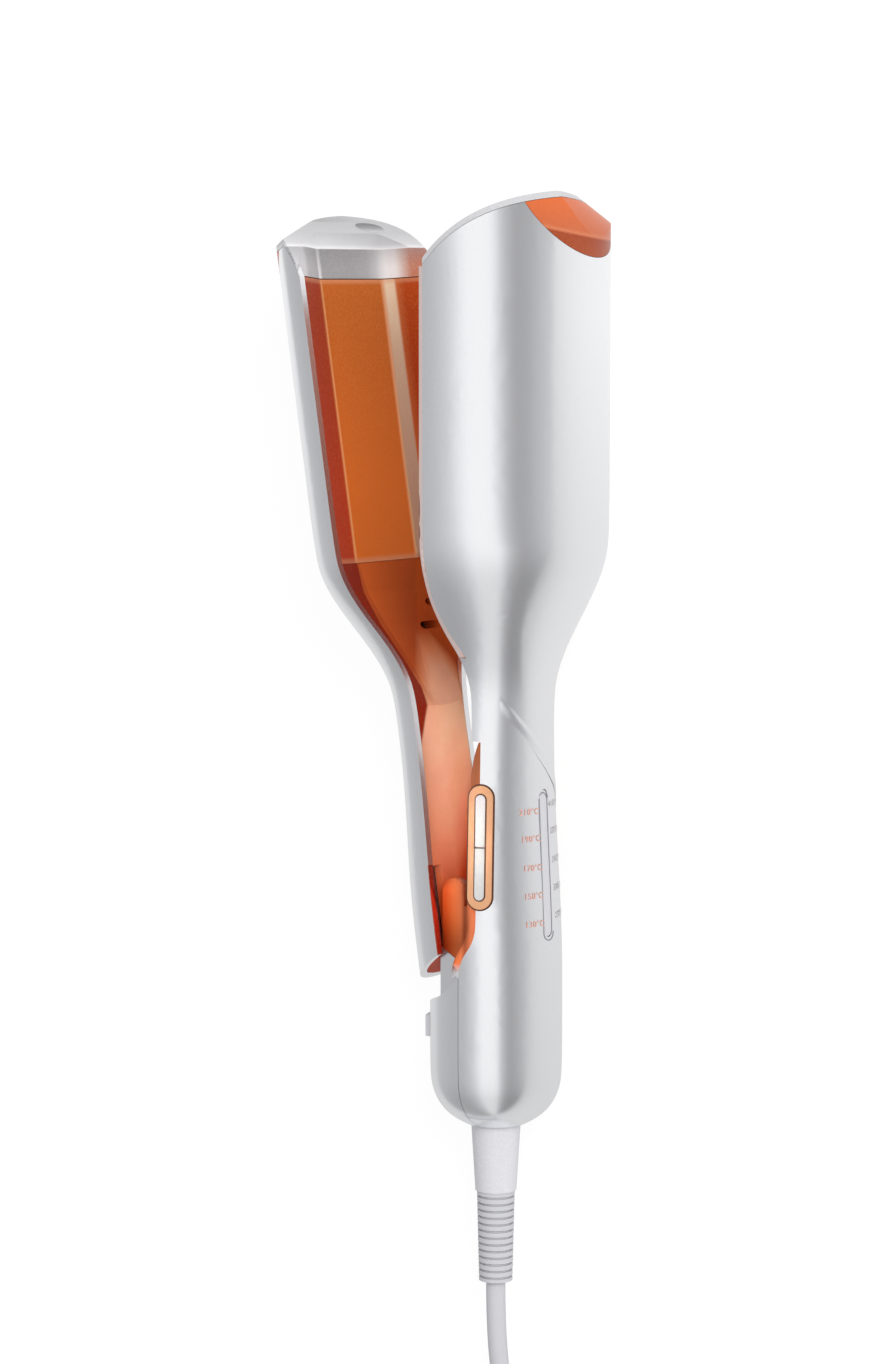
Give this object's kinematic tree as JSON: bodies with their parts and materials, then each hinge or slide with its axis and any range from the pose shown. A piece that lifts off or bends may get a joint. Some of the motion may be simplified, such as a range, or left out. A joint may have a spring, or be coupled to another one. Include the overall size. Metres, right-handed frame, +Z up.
{
  "type": "hair crimper",
  "caption": "Two-armed electric hair crimper whose hinged lever closes a wide trough plate onto a raised ridge plate, with temperature buttons and a swivelling mains cord.",
  "frame": {"origin": "on the surface that the crimper lies on, at the middle of its box without the cord", "axes": "+Z up, +Y along the crimper from its cord to its jaws, +X from the lever to the main arm"},
  "size_m": [0.1306, 0.5772, 0.0747],
  "materials": {
    "silver_shell": "satin",
    "orange_cover": "satin",
    "orange_coating": "satin",
    "bezel_orange": "satin",
    "button_silver": "satin",
    "scale_window": "gloss",
    "heater_ceramic": "matte",
    "steel": "satin",
    "carrier_plastic": "matte",
    "silicone": "matte",
    "circuit_board": "satin",
    "cord_rubber": "matte",
    "swivel_silver": "satin",
    "plug_metal": "polished"
  },
  "bodies": {
    "main_arm": {"body_outer_shell": "silver_shell", "body_inner_cover": "orange_cover", "tail_cover": "silver_shell", "body_end_cap": "silver_shell", "body_cool_tip": "orange_cover", "button_bezel": "bezel_orange", "indicator_lens": "scale_window", "ridge_plate": "orange_coating", "body_heater": "heater_ceramic", "body_heater_clamp": "steel", "body_plate_carrier": "carrier_plastic", "thermal_fuse": "steel", "button_contacts": "carrier_plastic", "control_board": "circuit_board", "board_components": "carrier_plastic", "light_board": "circuit_board", "body_cover_screws": "steel", "tail_screw": "steel", "hinge_pin": "steel", "hinge_spring": "steel", "cord": "cord_rubber", "cord_coil": "cord_rubber", "plug_cord": "cord_rubber", "cord_tie": "cord_rubber", "plug_body": "cord_rubber", "plug_pin_left": "plug_metal", "plug_pin_right": "plug_metal"},
    "up_button": {"temperature_up_button": "button_silver"},
    "down_button": {"temperature_down_button": "button_silver"},
    "lock": {"lock_slider": "silver_shell"},
    "swivel": {"cord_swivel": "swivel_silver", "cord_guard": "cord_rubber"},
    "lever": {"lever_outer_shell": "silver_shell", "lever_inner_cover": "orange_cover", "lever_end_cap": "silver_shell", "lever_cool_tip": "orange_cover", "trough_plate": "orange_coating", "lever_heater": "heater_ceramic", "lever_heater_clamp": "steel", "lever_plate_carrier": "carrier_plastic", "lever_plate_pads": "silicone"}
  },
  "joints": [
    {"name": "lever_hinge", "type": "hinge", "parent": "main_arm", "child": "lever", "pos_m": [0.01248, -0.05848, 0.02327], "axis": [0, 0.0871, -0.9962], "range_deg": [0, 12.5], "stiffness_Nm_per_rad": 0.8, "springref_deg": -17.19},
    {"name": "up_button_press", "type": "slide", "parent": "main_arm", "child": "up_button", "axis": [-0.374, 0.025, -0.9271], "range_m": [0, 0.0006], "stiffness_N_per_m": 1500, "springref_m": -0.0002},
    {"name": "down_button_press", "type": "slide", "parent": "main_arm", "child": "down_button", "axis": [-0.374, 0.025, -0.9271], "range_m": [0, 0.0006], "stiffness_N_per_m": 1500, "springref_m": -0.0002},
    {"name": "lock_slide", "type": "slide", "parent": "main_arm", "child": "lock", "axis": [0, 0.9962, 0.0871], "range_m": [0, 0.0034]},
    {"name": "cord_turn", "type": "hinge", "parent": "main_arm", "child": "swivel", "pos_m": [0.01898, -0.11427, 0.0184], "axis": [0, 0.9962, 0.0871], "continuous": true}
  ]
}
